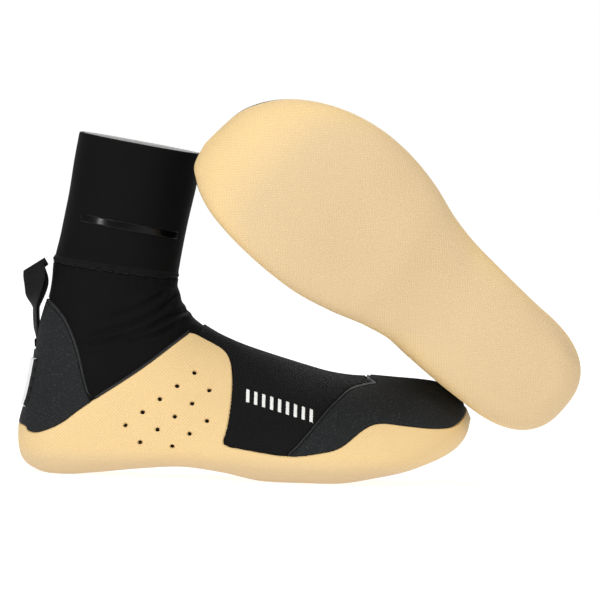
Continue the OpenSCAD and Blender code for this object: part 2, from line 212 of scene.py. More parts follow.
def nearest(line, x, z):
    """Distance of each point to an open line."""
    best = np.full(x.shape, 1e9)
    for (ax, az), (bx, bz) in zip(line[:-1], line[1:]):
        ex, ez = bx - ax, bz - az
        f = np.clip(((x - ax) * ex + (z - az) * ez) / max(ex * ex + ez * ez, 1e-12), 0, 1)
        best = np.minimum(best, np.hypot(x - ax - f * ex, z - az - f * ez))
    return best


def inside(ring, x, z):
    """Distance of each point to a closed outline, above 0 inside it."""
    ring = list(ring)
    closed = ring + [ring[0]]
    odd = np.zeros(x.shape, bool)
    for (ax, az), (bx, bz) in zip(closed[:-1], closed[1:]):
        if az != bz:
            odd ^= ((az > z) != (bz > z)) & (x < (bx - ax) * (z - az) / (bz - az) + ax)
    return np.where(odd, 1, -1) * nearest(closed, x, z)


SOLE_RING = smooth_line(WING_EDGE) + [(310, 90), (310, -20), (-20, -20)]
COUNTER_RING = smooth_line(COUNTER_EDGE) + [(-20, 10), (47.5, 10)]
CAP_RING = smooth_line(CAP_EDGE[:-1]) + [(222.5, 90), (279, 90), (310, 60), (310, 10), (173.5, 10)]
HEM_RING = smooth_line(HEM_EDGE) + [(140, 150), (-30, 150)]
VAMP_RING = smooth_line(VAMP_TOP) + [(222.3, 112), (222.3, 69), (232, 64), (190, 12), (125, 12),
    (125, 80)]


def place(side):
    """The matrix from one boot's millimetres to the frame's metres, from that boot's two mounts."""
    mounts = {m["name"]: m for m in frame["record"]["mounts"]}
    heel = np.array(mounts[side + "_heel_tread"]["pos_m"], float)
    ball = np.array(mounts[side + "_ball_tread"]["pos_m"], float)
    up = -np.array(mounts[side + "_heel_tread"]["axis"], float)
    up /= np.linalg.norm(up)
    run = ball - heel
    run -= up * run.dot(up)
    run /= np.linalg.norm(run)
    across = np.cross(up, run) * (1 if side == "right" else -1)
    dx, dy = HEEL_TO_BALL
    from_heel = np.array([dx, dy, 0]) / math.hypot(dx, dy)
    from_side = np.array([-dy, dx, 0]) / math.hypot(dx, dy)
    turn = np.outer(run, from_heel) + np.outer(across, from_side) + np.outer(up, [0, 0, 1])
    m = np.eye(4)
    m[:3, :3] = turn * MM
    m[:3, 3] = heel - turn @ np.array([HEEL_MOUNT, 0, 0])
    return Matrix(m.tolist())


PLACE = {side: place(side) for side in SIDES}


# ---------------------------------------------------------------- mesh helpers
def grid(u_range, v_range, u_cells, v_cells):
    """A flat grid whose x is u and whose y is v."""
    bm = bmesh.new()
    bmesh.ops.create_grid(bm, x_segments=u_cells, y_segments=v_cells, size=1)
    middle = ((u_range[0] + u_range[1]) / 2, (v_range[0] + v_range[1]) / 2, 0)
    half = ((u_range[1] - u_range[0]) / 2, (v_range[1] - v_range[0]) / 2, 1, 1)
    bmesh.ops.transform(bm, matrix=Matrix.Translation(middle) @ Matrix.Diagonal(half), verts=bm.verts)
    return bm


def spots(bm):
    """The grid's u and v, as arrays."""
    bm.verts.index_update()
    co = np.array([v.co for v in bm.verts], float).reshape(-1, 3)
    return co[:, 0], co[:, 1]


def faces_where(bm, flags, every):
    """Faces that have the flag at every corner, or at any."""
    test = all if every else any
    return [f for f in bm.faces if test(flags[v.index] for v in f.verts)]


def refine(bm, flags):
    """Halves the cells that touch a flagged point."""
    edges = {e for f in faces_where(bm, flags, False) for e in f.edges}
    bmesh.ops.subdivide_edges(bm, edges=list(edges), cuts=1, use_grid_fill=True)


def relax(bm, passes):
    """Evens out a panel, its edges held."""
    for _ in range(passes):
        bmesh.ops.smooth_vert(bm, verts=[v for v in bm.verts if not v.is_boundary], factor=0.5,
                              use_axis_x=True, use_axis_y=True, use_axis_z=True)


def move_to(bm, points):
    for v, p in zip(bm.verts, points):
        v.co = p


def panel(bm, reach, depth, margin=0.5, fine=(1.6,), flat_floor=False):
    """Turns a flat grid into one panel of the skin.

    reach(x, z, y) is the distance inside the panel's outline, and depth(s, x, z, y, u, t) how deep
    each point lies. Cells further than margin outside are cut away; fine gives, pass by
    pass, how near the outline cells are halved.
    """
    def reached():
        u, v = spots(bm)
        t = turn_at(u, v)
        p = skin(u, t)
        return u, t, p, reach(p[:, 0], p[:, 2], p[:, 1])

    cell = 3.0
    for near in (None,) + tuple(fine):
        u, t, p, s = reached()
        if near is None:
            gone = faces_where(bm, s < -margin - cell, True)
            bmesh.ops.delete(bm, geom=gone, context="FACES")
        else:
            refine(bm, np.abs(s) < near)
    u, t, p, s = reached()
    bmesh.ops.delete(bm, geom=faces_where(bm, s < -margin, True), context="FACES")
    u, t, p, s = reached()
    points = deep(u, t, depth(s, p[:, 0], p[:, 2], p[:, 1], u, t))
    if flat_floor:
        points[:, 2] = np.maximum(points[:, 2], 0)
    move_to(bm, points)
    odd = [f for f in bm.faces if len(f.verts) > 4]
    bmesh.ops.triangulate(bm, faces=odd)
    return outward_faces(bm)


def hoop(bm, profile, wave=None):
    """Bends a flat grid into a closed band round the boot.

    The grid's x runs once round the band's own section, given as (u, depth) points, and its y
    runs once round the boot.
    """
    way, v = spots(bm)
    u = np.interp(way, np.linspace(0, 1, len(profile)), [p[0] for p in profile])
    d = np.interp(way, np.linspace(0, 1, len(profile)), [p[1] for p in profile])
    t = turn_at(u, v)
    if wave is not None:
        p = skin(u, t)
        d = d + wave(p[:, 0], p[:, 2], p[:, 1], u, v, way)
    move_to(bm, deep(u, t, d))
    bmesh.ops.remove_doubles(bm, verts=bm.verts, dist=WELD)
    bmesh.ops.recalc_face_normals(bm, faces=bm.faces)
    return bm


def section(top, bottom, outer, inner, lip=0.07, lines=12):
    """Section of a sleeve, as (u, depth): up its outer face, over a round lip and down inside."""
    middle, half = (outer + inner) / 2, (inner - outer) / 2
    up = [(bottom + (top + lip - bottom) * f, outer) for f in np.linspace(0, 1, lines)]
    over = [(top + lip - lip * math.sin(a), middle - half * math.cos(a))
            for a in np.linspace(0, math.pi, 9)]
    down = [(top + lip + (bottom - top - lip) * f, inner) for f in np.linspace(0, 1, lines)]
    return up + over[1:-1] + down + [up[0]]


def even_section(points, mm_per_u=21.0, count=90):
    """The same section at even distances."""
    p = np.array(points, float)
    step = np.hypot(np.diff(p[:, 0]) * mm_per_u, np.diff(p[:, 1]))
    way = np.concatenate([[0], np.cumsum(step)])
    at = np.linspace(0, way[-1], count)
    return list(zip(np.interp(at, way, p[:, 0]), np.interp(at, way, p[:, 1])))


def lay_weave(mesh):
    """A UV map in millimetres, laid on each face from the side it looks to most."""
    count = len(mesh.vertices)
    co = np.empty(count * 3, np.float32)
    mesh.vertices.foreach_get("co", co)
    co = co.reshape(-1, 3)
    normals = np.empty(len(mesh.polygons) * 3, np.float32)
    mesh.polygons.foreach_get("normal", normals)
    looks = np.argmax(np.abs(normals.reshape(-1, 3)) * (0.9, 1, 0.85), axis=1)
    corners = np.empty(len(mesh.loops), np.int32)
    mesh.loops.foreach_get("vertex_index", corners)
    totals = np.empty(len(mesh.polygons), np.int32)
    mesh.polygons.foreach_get("loop_total", totals)
    look = np.repeat(looks, totals)
    p = co[corners]
    other = np.where((look == 2)[:, None], p[:, [0, 1]], p[:, [1, 2]])
    uv = np.where((look == 1)[:, None], p[:, [0, 2]], other)
    layer = mesh.uv_layers.new(name="weave")
    layer.data.foreach_set("uv", uv.astype(np.float32).ravel())


def finished(bm, side, name, body, slot, stands_for, wall=0.0, inward=False, weave=True,
             shades=None):
    """Makes the object of one boot's piece: merged, faced, mapped, placed, thickened and riding."""
    bmesh.ops.remove_doubles(bm, verts=bm.verts, dist=WELD)
    mesh = bpy.data.meshes.new(f"{side}_{name}")
    bm.to_mesh(mesh)
    bm.free()
    if inward:
        mesh.flip_normals()
    if weave:
        lay_weave(mesh)
    for key, values in (shades or {}).items():
        co = np.empty(len(mesh.vertices) * 3, np.float32)
        mesh.vertices.foreach_get("co", co)
        layer = mesh.attributes.new(key, "FLOAT", "POINT")
        layer.data.foreach_set("value", values(co.reshape(-1, 3)).astype(np.float32))
    mesh.transform(PLACE[side])
    if side == "left":
        mesh.flip_normals()
    mesh.shade_smooth()
    mesh.materials.append(FINISHES[slot])
    obj = bpy.data.objects.new(f"{side}_{name}", mesh)
    bpy.context.scene.collection.objects.link(obj)
    if wall:
        solid = obj.modifiers.new("wall", "SOLIDIFY")
        solid.thickness = wall * MM
        solid.offset = -1
        solid.use_even_offset = False
    if isinstance(body, str):
        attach(obj, f"{side}_{body}")
    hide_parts(*[f"{side}_{n}" for n in stands_for])
    return obj


def outward_faces(bm):
    """Turns the faces of a panel to look away from the boot's middle line."""
    total = 0.0
    for f in list(bm.faces)[:: max(1, len(bm.faces) // 200)]:
        c = f.calc_center_median()
        middle = Vector((min(max(c.x, 60), 250), 8, 40 if c.x > 90 or c.z < 60 else min(c.z, 200)))
        f.normal_update()
        total += (c - middle).normalized().dot(f.normal)
    if total < 0:
        bmesh.ops.reverse_faces(bm, faces=bm.faces)
    return bm


def crease_depth(x, z):
    """How far the folds over the ankle push the jersey in, or out beside them."""
    d = np.zeros(x.shape)
    for line in CREASES:
        way = nearest(smooth_line(line), x, z)
        d += 1.1 * np.exp(-(way / 1.2) ** 2) - 0.75 * np.exp(-((way - 3.2) / 1.9) ** 2)
    return d


def slot_for_webbing(x, z, y, sizes):
    """Distance inside the slot at the back that the pull loop's sewn end stands in."""
    low, high = LOOP_LINE[0][1], LOOP_LINE[4][1]
    return np.minimum.reduce([sizes.webbing_w / 2 + 0.3 - np.abs(y), z - low + 0.4, high - z, 30 - x])


def clear_of_sole(x, z, sizes):
    """Distance outside the sole's edge, less the gap between two panels."""
    return -inside(SOLE_RING, x, z) - sizes.layer_gap


def soft_waves(x, z, y):
    """The slow unevenness of cloth."""
    return 0.22 * np.sin(x / 9.0 + 1.3 * np.sin(z / 13.0) + y / 15) * np.sin(z / 17.0 + 0.4)


# ---------------------------------------------------------------- finishes
class Shader:
    """Small helper that builds one material's nodes."""

    def __init__(self, name):
        self.material = bpy.data.materials.new(name)
        self.material.use_nodes = True
        self.tree = self.material.node_tree
        self.tree.nodes.clear()
        self.out = self.add("ShaderNodeOutputMaterial")
        self.surface = self.add("ShaderNodeBsdfPrincipled")
        self.link(self.surface, "BSDF", self.out, "Surface")

    def add(self, kind, **values):
        n = self.tree.nodes.new(kind)
        for key, value in values.items():
            setattr(n, key, value)
        return n

    def link(self, a, out, b, into):
        self.tree.links.new(a.outputs[out], b.inputs[into])

    def set(self, **values):
        for key, value in values.items():
            self.surface.inputs[key.replace("_", " ")].default_value = value

    def math(self, kind, a, b=None, clamp=False):
        n = self.add("ShaderNodeMath", operation=kind, use_clamp=clamp)
        for i, value in enumerate((a, b)):
            if value is None:
                continue
            if isinstance(value, (int, float)):
                n.inputs[i].default_value = value
            else:
                self.tree.links.new(value, n.inputs[i])
        return n.outputs[0]

    def times(self, a, b):
        return self.math("MULTIPLY", a, b)

    def attribute(self, name):
        return self.add("ShaderNodeAttribute", attribute_name=name).outputs["Fac"]

    def cloth_axes(self):
        """The weave map's two directions, in millimetres."""
        uv = self.add("ShaderNodeUVMap", uv_map="weave")
        parts = self.add("ShaderNodeSeparateXYZ")
        self.link(uv, "UV", parts, "Vector")
        return parts.outputs["X"], parts.outputs["Y"]

    def diamonds(self, pitch):
        """Small pads in diagonal rows, 0 in the grooves and 1 on top."""
        a, b = self.cloth_axes()
        k = math.pi / pitch
        plus = self.math("SINE", self.times(self.math("ADD", a, b), k))
        minus = self.math("SINE", self.times(self.math("SUBTRACT", a, b), k))
        return self.math("ABSOLUTE", self.times(plus, minus))

    def ribs(self, pitch, slant=0.0):
        """Ribs across the weave map's second direction."""
        a, b = self.cloth_axes()
        way = self.math("ADD", self.times(a, slant), b)
        return self.math("ABSOLUTE", self.math("SINE", self.times(way, math.pi / pitch)))

    def noise(self, scale, detail=3.0, rough=0.55):
        where = self.add("ShaderNodeTexCoord")
        n = self.add("ShaderNodeTexNoise")
        n.inputs["Scale"].default_value = scale
        n.inputs["Detail"].default_value = detail
        n.inputs["Roughness"].default_value = rough
        self.link(where, "Object", n, "Vector")
        return n.outputs["Fac"]

    def ramp(self, value, low, high):
        n = self.add("ShaderNodeMapRange")
        self.tree.links.new(value, n.inputs["Value"])
        n.inputs["From Min"].default_value = low
        n.inputs["From Max"].default_value = high
        return n.outputs["Result"]

    def mix(self, share, a, b):
        """A colour between a and b; either may be a colour or another mix."""
        n = self.add("ShaderNodeMix", data_type="RGBA")
        if isinstance(share, (int, float)):
            n.inputs[0].default_value = share
        else:
            self.tree.links.new(share, n.inputs[0])
        for slot, value in ((6, a), (7, b)):
            if isinstance(value, bpy.types.NodeSocket):
                self.tree.links.new(value, n.inputs[slot])
            else:
                n.inputs[slot].default_value = tuple(value)[:3] + (1,)
        return n.outputs[2]

    def colour(self, value):
        self.tree.links.new(value, self.surface.inputs["Base Color"])

    def roughness(self, value, low, high):
        n = self.add("ShaderNodeMapRange")
        self.tree.links.new(value, n.inputs["Value"])
        n.inputs["To Min"].default_value = low
        n.inputs["To Max"].default_value = high
        self.tree.links.new(n.outputs["Result"], self.surface.inputs["Roughness"])

    def bump(self, height, millimetres, strength=1.0, over=None):
        n = self.add("ShaderNodeBump")
        n.inputs["Strength"].default_value = strength
        n.inputs["Distance"].default_value = millimetres * MM
        self.tree.links.new(height, n.inputs["Height"])
        if over is not None:
            self.tree.links.new(over, n.inputs["Normal"])
        self.tree.links.new(n.outputs["Normal"], self.surface.inputs["Normal"])
        return n.outputs["Normal"]


def shade(colour, by):
    return tuple(max(0.0, min(1.0, c * by)) for c in colour[:3])


FINISHES = {}


def make_finishes(looks):
    """All the materials, from the colours in the panel."""
    s = Shader("cream_rubber")
    pads = s.diamonds(looks.sole_pitch)
    clouds = s.ramp(s.noise(22, 4), 0.3, 0.7)
    under = s.attribute("tread")
    low = s.attribute("low")
    cream = s.mix(s.times(clouds, 0.35), looks.rubber, shade(looks.rubber, 0.9))
    cream = s.mix(under, cream, s.mix(s.times(clouds, 0.5), looks.tread, shade(looks.tread, 0.93)))
    # painted shade: the low attribute darkens the cream walls towards the floor, in place of the shade from
    # the light above
    cream = s.mix(s.times(low, 0.35), cream, shade(looks.rubber, 0.62))
    # painted shade: the cream is darkened in the grooves of the diamond weave
    grooves = s.times(s.math("SUBTRACT", 1.0, pads), 0.3)
    s.colour(s.mix(grooves, cream, shade(looks.rubber, 0.62)))
    s.roughness(pads, 0.72, 0.5)
    first = s.bump(pads, 0.16, 0.75)
    s.bump(s.noise(500, 2), 0.06, 0.5, first)
    s.set(IOR=1.45)
    FINISHES["sole_rubber"] = s.material

    s = Shader("charcoal_rubber")
    dots = s.diamonds(looks.guard_pitch)
    specks = s.ramp(s.noise(900, 2, 0.7), 0.56, 0.7)
    base = s.mix(s.times(s.ramp(s.noise(30, 4), 0.3, 0.7), 0.5), looks.guard, shade(looks.guard, 0.8))
    # painted shade: the charcoal is darkened in the grooves between the dots
    base = s.mix(s.times(dots, 0.45), shade(looks.guard, 0.62), base)
    s.colour(s.mix(s.times(specks, 0.6), base, shade(looks.guard, 2.8)))
    s.roughness(dots, 0.8, 0.6)
    s.set(Specular_IOR_Level=0.14)
    first = s.bump(dots, 0.15, 0.8)
    s.bump(s.noise(1200, 2), 0.05, 0.5, first)
    FINISHES["guard_rubber"] = s.material

    s = Shader("black_jersey")
    knit = s.times(s.ribs(0.55), s.ribs(0.7, 3.0))
    fuzz = s.ramp(s.noise(1500, 3, 0.7), 0.35, 0.65)
    base = s.mix(s.times(fuzz, 0.6), looks.jersey, shade(looks.jersey, 1.7))
    s.colour(s.mix(s.times(s.ramp(s.noise(25, 3), 0.35, 0.7), 0.4), base, shade(looks.jersey, 0.6)))
    s.set(Roughness=0.62, Specular_IOR_Level=0.06)
    first = s.bump(knit, 0.06, 0.5)
    s.bump(s.noise(60, 3), 0.35, 0.35, first)
    FINISHES["neoprene"] = s.material

    s = Shader("black_mesh")
    pebbles = s.diamonds(looks.mesh_pitch)
    # painted shade: the mesh is darkened in the grooves between the pebbles
    base = s.mix(pebbles, shade(looks.mesh, 0.4), looks.mesh)
    s.colour(s.mix(s.times(s.ramp(s.noise(700, 2), 0.55, 0.75), 0.3), base, shade(looks.mesh, 2.2)))
    s.roughness(pebbles, 0.8, 0.5)
    s.set(Specular_IOR_Level=0.12)
    first = s.bump(pebbles, 0.3, 1.0)
    s.bump(s.noise(1300, 2), 0.05, 0.4, first)
    FINISHES["mesh"] = s.material

    s = Shader("lining_jersey")
    loops = s.times(s.ribs(0.8), s.ribs(1.1, 2.0))
    base = s.mix(s.times(s.ramp(s.noise(1100, 3), 0.3, 0.7), 0.6), looks.lining, shade(looks.lining, 0.75))
    s.colour(s.mix(s.times(loops, 0.3), base, shade(looks.lining, 0.6)))
    s.set(Roughness=0.95, Sheen_Weight=0.2, Sheen_Roughness=0.6, Specular_IOR_Level=0.2)
    first = s.bump(loops, 0.12, 0.7)
    s.bump(s.noise(70, 3), 0.5, 0.4, first)
    FINISHES["lining"] = s.material

    s = Shader("footbed_foam")
    cells = s.ramp(s.noise(1400, 2, 0.7), 0.4, 0.65)
    s.colour(s.mix(cells, looks.foam, shade(looks.foam, 0.7)))
    s.set(Roughness=0.92)
    s.bump(cells, 0.15, 0.6)
    FINISHES["footbed_foam"] = s.material

    s = Shader("black_thread")
    strands = s.ribs(0.35, 1.2)
    s.colour(s.mix(strands, shade(looks.thread, 0.55), shade(looks.thread, 1.5)))
    s.set(Roughness=0.7, Specular_IOR_Level=0.12)
    s.bump(strands, 0.1, 0.7)
    FINISHES["thread"] = s.material

    s = Shader("seam_tape")
    ribs = s.ribs(0.6, 0.4)
    s.colour(s.mix(ribs, shade(looks.thread, 0.8), shade(looks.thread, 1.8)))
    s.set(Roughness=0.6)
    s.bump(ribs, 0.06, 0.5)
    FINISHES["tape"] = s.material

    s = Shader("gloss_film")
    haze = s.ramp(s.noise(90, 3), 0.3, 0.7)
    s.colour(s.mix(haze, shade(looks.film, 0.8), shade(looks.film, 1.3)))
    s.roughness(haze, 0.14, 0.24)
    s.set(Specular_IOR_Level=0.16)
    s.bump(s.noise(120, 2), 0.12, 0.25)
    FINISHES["gloss_film"] = s.material

    s = Shader("edge_sealant")
    skinny = s.ramp(s.noise(260, 3), 0.3, 0.7)
    s.colour(s.mix(skinny, shade(looks.seal, 0.8), shade(looks.seal, 1.25)))
    s.roughness(skinny, 0.3, 0.5)
    s.set(Specular_IOR_Level=0.3)
    s.bump(s.noise(420, 2), 0.1, 0.5)
    FINISHES["sealant"] = s.material

    s = Shader("white_print")
    worn = s.ramp(s.noise(900, 3, 0.7), 0.35, 0.6)
    s.colour(s.mix(s.times(worn, 0.35), looks.print_ink, shade(looks.print_ink, 0.75)))
    s.set(Roughness=0.6)
    s.bump(s.diamonds(looks.mesh_pitch), 0.08, 0.5)
    FINISHES["print_ink"] = s.material

    s = Shader("label_fabric")
    threads = s.times(s.ribs(0.5), s.ribs(0.6, 1.0))
    border = s.attribute("border")
    s.colour(s.mix(border, s.mix(threads, shade(looks.label, 0.86), looks.label), shade(looks.thread, 0.8)))
    s.set(Roughness=0.8)
    s.bump(threads, 0.08, 0.5)
    FINISHES["label_fabric"] = s.material

    s = Shader("black_webbing")
    a, b = s.cloth_axes()
    rows = s.math("SINE", s.times(b, math.pi / 0.85))
    picks = s.math("SINE", s.times(s.math("ADD", s.times(b, 0.5), a), math.pi / 0.75))
    twill = s.math("ABSOLUTE", s.times(rows, picks))
    flecks = s.times(s.ramp(twill, 0.6, 0.95), s.ramp(s.noise(600, 1), 0.3, 0.55))
    base = s.mix(twill, shade(looks.webbing, 0.45), looks.webbing)
    s.colour(s.mix(s.times(flecks, 0.5), base, shade(looks.webbing, 5)))
    s.set(Roughness=0.7, Specular_IOR_Level=0.15)
    s.bump(twill, 0.22, 1.0)
    FINISHES["webbing"] = s.material

    s = Shader("studio_floor")
    s.colour(s.mix(s.times(s.ramp(s.noise(1.5, 2), 0.3, 0.7), 0.2), (0.45, 0.45, 0.45), (0.42, 0.42, 0.42)))
    s.set(Roughness=0.8, Specular_IOR_Level=0.0, Emission_Color=(1, 1, 1, 1), Emission_Strength=0.8)
    FINISHES["floor"] = s.material


# ---------------------------------------------------------------- sizes and colours
def size(name, description, value, low, high):
    return FloatProperty(name=name, description=description, default=value, min=low, max=high,
                         unit="NONE")


def tint(name, description, value):
    return FloatVectorProperty(name=name, description=description, default=value, subtype="COLOR",
                               size=3, min=0, max=1)


class BootSizes(bpy.types.PropertyGroup):
    """Sizes in millimetres that a maker would change."""

    rubber_t: size("Rubber", "Thickness of sole, toe cap and counter, in mm", 1.6, 1.2, 2.0)
    mesh_t: size("Mesh", "Thickness of the vamp's mesh skin, in mm", 0.9, 0.6, 1.1)
    neoprene_t: size("Neoprene", "Thickness of the neoprene, in mm", 3.0, 2.4, 3.6)
    lining_t: size("Lining", "Thickness of the lining, in mm", 0.8, 0.6, 1.0)
    footbed_t: size("Footbed", "Thickness of the footbed, in mm", 3.0, 2.0, 3.6)
    layer_gap: size("Layer gap", "Space between two layers, in mm", 0.2, 0.1, 0.3)
    cell: size("Cell", "Size of a mesh cell on the visible panels, in mm", 1.7, 1.2, 4.0)
    vent_d: size("Vent", "Diameter of a vent hole, in mm", 3.0, 2.0, 4.0)
    vent_pitch: size("Vent pitch", "Distance between vent holes, in mm", 13.8, 11.0, 15.0)
    vent_row: size("Vent row", "Distance between rows of vent holes, in mm", 14.4, 12.0, 16.0)
    bead_w: size("Bead", "Width of a sealed bead, in mm", 1.4, 1.0, 2.0)
    strip_h: size("Strip", "Height of the glossy strip, in mm", 5.0, 3.0, 8.0)
    webbing_w: size("Webbing", "Width of the pull loop's webbing, in mm", 15.8, 12.0, 19.0)
    webbing_t: size("Webbing thickness", "Thickness of the webbing, in mm", 1.5, 1.2, 1.8)
    label_h: size("Label height", "Height of the heel label, in mm", 30.0, 20.0, 34.0)
    label_w: size("Label width", "Width of the heel label, in mm", 27.0, 20.0, 32.0)


class BootLooks(bpy.types.PropertyGroup):
    """Colours and the scale of the surface patterns."""

    rubber: tint("Sole walls", "Cream rubber on the side walls", (0.765, 0.548, 0.262))
    tread: tint("Tread", "Cream rubber under the foot", (0.66, 0.488, 0.28))
    guard: tint("Guards", "Charcoal rubber of toe cap and counter", (0.017, 0.0185, 0.0195))
    jersey: tint("Jersey", "Black jersey of ankle and cuff", (0.003, 0.003, 0.003))
    mesh: tint("Mesh", "Black mesh of the vamp", (0.0055, 0.0055, 0.006))
    lining: tint("Lining", "Light jersey inside", (0.55, 0.55, 0.54))
    foam: tint("Footbed", "Foam under the foot", (0.2, 0.2, 0.21))
    thread: tint("Thread", "Sewing thread", (0.0032, 0.0032, 0.0032))
    film: tint("Film", "Glossy strip", (0.001, 0.001, 0.001))
    seal: tint("Sealant", "Beads along the panel edges", (0.009, 0.0095, 0.01))
    print_ink: tint("Print", "Printed bars on the vamp", (0.8, 0.8, 0.78))
    label: tint("Label", "Woven heel label", (0.85, 0.85, 0.85))
    webbing: tint("Webbing", "Pull loop webbing", (0.009, 0.009, 0.009))
    sole_pitch: size("Sole weave", "Pitch of the sole's diamond weave, in mm", 2.2, 1.0, 4.0)
    guard_pitch: size("Guard weave", "Pitch of the guards' dots, in mm", 1.5, 0.8, 3.0)
    mesh_pitch: size("Mesh weave", "Pitch of the vamp's diamonds, in mm", 2.0, 1.0, 4.0)


class Layers:
    """Depths of each layer's two faces under the skin, in millimetres."""

    def __init__(self, s):
        self.rubber = (0.0, s.rubber_t)
        self.mesh = (s.rubber_t - s.mesh_t, s.rubber_t)
        self.neoprene = (s.rubber_t + s.layer_gap, s.rubber_t + s.layer_gap + s.neoprene_t)
        self.lining = (self.neoprene[1] + s.layer_gap, self.neoprene[1] + s.layer_gap + s.lining_t)
        self.footbed = (self.lining[1] + s.layer_gap, self.lining[1] + s.layer_gap + s.footbed_t)


def sheet(u_range, cell, mm_per_u, round_mm, v_range=(0, 1)):
    """A flat grid over these rings, its cells about the given size along and round."""
    along = max(4, int((u_range[1] - u_range[0]) * mm_per_u / cell))
    return grid(u_range, v_range, along, max(8, int(round_mm / cell)))


def skirt(s, top, under, radius):
    """Depth near a panel's edge: flat, then rounded over, then down under the next layer."""
    inner = np.clip(s, 0, radius)
    rounded = radius - np.sqrt(np.maximum(radius ** 2 - (radius - inner) ** 2, 0))
    return np.where(s > 0, top + rounded, np.minimum(top + radius - 3.2 / radius * s, under))


class BootPiece:
    """What every piece's operator shares."""

    bl_options = {"REGISTER"}

    def execute(self, context):
        sizes = context.scene.boot_sizes
        layers = Layers(sizes)
        for side in SIDES:
            made = self.build(side, sizes, layers)
            if made is None or not len(made.data.polygons):
                raise RuntimeError(f"{self.bl_label}: nothing was built for the {side} boot")
        return {"FINISHED"}


class BOOTS_OT_finishes(bpy.types.Operator):
    """Make all the materials"""

    bl_idname = "boots.finishes"
    bl_label = "Finishes"

    def execute(self, context):
        make_finishes(context.scene.boot_looks)
        return {"FINISHED"}


class BOOTS_OT_soles(BootPiece, bpy.types.Operator):
    """Cream rubber soles with their side wings and vent holes"""

    bl_idname = "boots.soles"
    bl_label = "Rubber soles"

    def build(self, side, sizes, layers):
        run = math.radians(VENT_SLOPE)
        vents = [(VENT_START[0] + row * sizes.vent_row * VENT_ALONG[0] + k * sizes.vent_pitch * math.cos(run),
                  VENT_START[1] + row * sizes.vent_row * VENT_ALONG[1] + k * sizes.vent_pitch * math.sin(run))
                 for row, (first, count) in enumerate(VENT_ROWS) for k in range(first, first + count)]
        under = layers.neoprene[0] + 0.5

        def hole(x, z):
            return np.min([np.hypot(x - a, (z - b) * 1.06) for a, b in vents], axis=0) - sizes.vent_d / 2

        def reach(x, z, y):
            return np.minimum(inside(SOLE_RING, x, z), 2.2 * hole(x, z))

        def depth(s, x, z, y, u, t):
            d = skirt(inside(SOLE_RING, x, z), 0.0, under, 0.9)
            rim = hole(x, z)
            d = np.maximum(d, skirt(rim, 0.0, under, 0.35))
            bottom = np.clip((8 - z) / 8, 0, 1)
            band = np.exp(-((np.abs(y) - 26) / 4.5) ** 2) * np.exp(-((x - 30) / 34) ** 2)
            d -= 0.9 * band * bottom
            sides = np.clip((np.abs(y) - 22) / 14, 0, 1)
            waist = np.exp(-((x - 112) / 5) ** 2) * np.clip((18 - z) / 14, 0, 1) * sides
            return d + 1.1 * waist

        bm = sheet((8, TIP), sizes.cell, 13.6, 265)
        panel(bm, reach, depth, margin=0.55, fine=(1.9, 1.0), flat_floor=True)

        def tread(co):
            return np.clip((18 - co[:, 2]) / 10, 0, 1)

        # painted shade: how far the cream walls are darkened near the floor, where less light falls
        def low(co):
            return np.clip((14 - co[:, 2]) / 12, 0, 1) * 0.5

        return finished(bm, side, "outsole_rubber", "foot", "sole_rubber", ("outsole",),
                        wall=sizes.rubber_t, shades={"tread": tread, "low": low})


class BOOTS_OT_foot_shells(BootPiece, bpy.types.Operator):
    """Neoprene shells of the foot, under the rubber"""

    bl_idname = "boots.foot_shells"
    bl_label = "Foot shells"

    def build(self, side, sizes, layers):
        top = layers.neoprene[0]

        def reach(x, z, y):
            return -inside(HEM_RING, x, z) - sizes.layer_gap

        def depth(s, x, z, y, u, t):
            return skirt(s, top, top + 1.5, 0.6)

        bm = sheet((6, TIP), 2.6, 13.6, 250)
        panel(bm, reach, depth, margin=0.3, fine=(2.0,))
        return finished(bm, side, "foot_neoprene", "foot", "neoprene", ("foot_shell",),
                        wall=sizes.neoprene_t * 0.8)


class BOOTS_OT_foot_linings(BootPiece, bpy.types.Operator):
    """Light jersey linings of the foot"""

    bl_idname = "boots.foot_linings"
    bl_label = "Foot linings"

    def build(self, side, sizes, layers):
        def reach(x, z, y):
            return -inside(HEM_RING, x, z) - sizes.layer_gap

        def depth(s, x, z, y, u, t):
            return np.full(s.shape, layers.lining[0])

        bm = sheet((6, TIP), 2.8, 13.6, 240)
        panel(bm, reach, depth, margin=0.3, fine=())
        bmesh.ops.remove_doubles(bm, verts=bm.verts, dist=WELD)
        relax(bm, 4)
        return finished(bm, side, "foot_lining_jersey", "foot", "lining", ("foot_lining",),
                        wall=sizes.lining_t)


class BOOTS_OT_footbeds(BootPiece, bpy.types.Operator):
    """Foam footbeds"""

    bl_idname = "boots.footbeds"
    bl_label = "Footbeds"

    def build(self, side, sizes, layers):
        bm = sheet((11, TIP - 2), 2.6, 13.6, 150)
        u, v = spots(bm)
        t = 92 + 176 * v
        edge = np.minimum(v, 1 - v) * 150
        ends = np.minimum(u - 11, TIP - 2 - u) * 13
        lip = np.clip(np.minimum(edge, ends) / 4, 0, 1)
        move_to(bm, deep(u, t, layers.footbed[0] + sizes.footbed_t * np.sqrt(lip)))
        relax(bm, 3)
        outward_faces(bm)
        return finished(bm, side, "footbed_foam", "foot", "footbed_foam", ("footbed",),
                        wall=0.6, inward=True)


